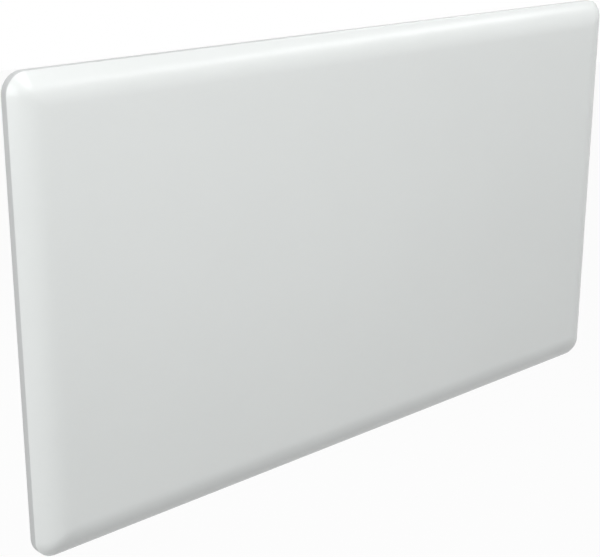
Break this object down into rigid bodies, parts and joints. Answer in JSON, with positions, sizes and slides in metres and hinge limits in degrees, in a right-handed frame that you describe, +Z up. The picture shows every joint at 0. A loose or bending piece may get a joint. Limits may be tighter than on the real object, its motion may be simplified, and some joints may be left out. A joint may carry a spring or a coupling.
{
  "type": "wall panel convector heater",
  "caption": "Slim white wall panel heater with a softly rolled pressed front, slotted air grilles, side thermostat controls and a tilting wall bracket.",
  "frame": {"origin": "on the wall plane, at the middle of the wall bracket's cross rail, which is the middle of the panel's width and height", "axes": "+X to the right as seen from the room, along the panel; +Y into the wall, so the front faces -Y; +Z up"},
  "size_m": [0.725, 0.0879, 0.4],
  "materials": {
    "panel_white": "satin white powder coat",
    "casing_grey": "satin light grey powder coat",
    "zinc_plate": "bright zinc plated steel",
    "galvanised_sheet": "galvanised steel sheet, fine spangle",
    "extruded_aluminium": "as extruded aluminium",
    "rod_sheath": "dull stainless sheath",
    "ceramic": "unglazed ceramic",
    "brass": "plain brass",
    "white_plastic": "fine matt white moulding",
    "black_plastic": "fine matt black moulding",
    "grey_plastic": "matt grey moulding",
    "circuit_board": "green solder mask on glass fibre",
    "amber_lens": "clear amber moulding",
    "rubber": "matt black rubber",
    "brown_insulation": "brown wire insulation",
    "blue_insulation": "blue wire insulation",
    "earth_insulation": "green and yellow wire insulation",
    "screw_steel": "bright zinc plated screw"
  },
  "bodies": {
    "bracket": {"cross_rail": "zinc_plate", "left_arm": "zinc_plate", "right_arm": "zinc_plate", "left_arm_pad_1": "rubber", "left_arm_pad_2": "rubber", "right_arm_pad_1": "rubber", "right_arm_pad_2": "rubber"},
    "heater": {"front_panel": "panel_white", "rear_casing": "casing_grey", "outlet_grille": "casing_grey", "inlet_grille": "casing_grey", "rear_heat_shield": "galvanised_sheet", "front_heat_shield": "galvanised_sheet", "control_partition": "galvanised_sheet", "front_screw_1": "screw_steel", "front_screw_2": "screw_steel", "front_screw_3": "screw_steel", "front_screw_4": "screw_steel", "front_screw_5": "screw_steel", "front_screw_6": "screw_steel", "element_fins": "extruded_aluminium", "heating_rod": "rod_sheath", "left_element_hanger": "galvanised_sheet", "right_element_hanger": "galvanised_sheet", "left_ceramic_bush": "ceramic", "right_ceramic_bush": "ceramic", "left_element_terminal": "brass", "right_element_terminal": "brass", "hanger_screw_1": "screw_steel", "hanger_screw_2": "screw_steel", "hanger_screw_3": "screw_steel", "hanger_screw_4": "screw_steel", "overheat_cutout": "ceramic", "terminal_block": "white_plastic", "cable_gland": "grey_plastic", "gland_nut": "grey_plastic", "earth_screw": "brass", "supply_live_wire": "brown_insulation", "supply_neutral_wire": "blue_insulation", "element_live_wire": "brown_insulation", "element_link_wire": "brown_insulation", "element_neutral_wire": "blue_insulation", "earth_wire": "earth_insulation", "control_fascia": "white_plastic", "control_housing": "grey_plastic", "control_board": "circuit_board", "power_relay": "black_plastic", "potentiometer": "grey_plastic", "room_sensor": "black_plastic", "indicator_lens": "amber_lens", "switch_body": "black_plastic"},
    "knob": {"thermostat_knob": "white_plastic", "knob_shaft": "grey_plastic"},
    "rocker": {"power_rocker": "black_plastic"},
    "left_lock": {"left_lock_bolt": "zinc_plate", "left_lock_lever": "black_plastic"},
    "right_lock": {"right_lock_bolt": "zinc_plate", "right_lock_lever": "black_plastic"}
  },
  "joints": [
    {"name": "heater_tilt", "type": "hinge", "parent": "bracket", "child": "heater", "pos_m": [0, -0.0631, -0.1853], "axis": [1, 0, 0], "range_deg": [0, 20]},
    {"name": "knob_turn", "type": "hinge", "parent": "heater", "child": "knob", "pos_m": [0.3414, -0.0475, 0.139], "axis": [-1, 0, 0], "range_deg": [-135, 135]},
    {"name": "rocker_press", "type": "hinge", "parent": "heater", "child": "rocker", "pos_m": [0.3381, -0.0475, 0.093], "axis": [0, -1, 0], "range_deg": [0, 16]},
    {"name": "left_lock_turn", "type": "hinge", "parent": "bracket", "child": "left_lock", "pos_m": [-0.18, -0.0265, 0.165], "axis": [0, -1, 0], "range_deg": [0, 90]},
    {"name": "right_lock_turn", "type": "hinge", "parent": "bracket", "child": "right_lock", "pos_m": [0.18, -0.0265, 0.165], "axis": [0, 1, 0], "range_deg": [0, 90]}
  ]
}
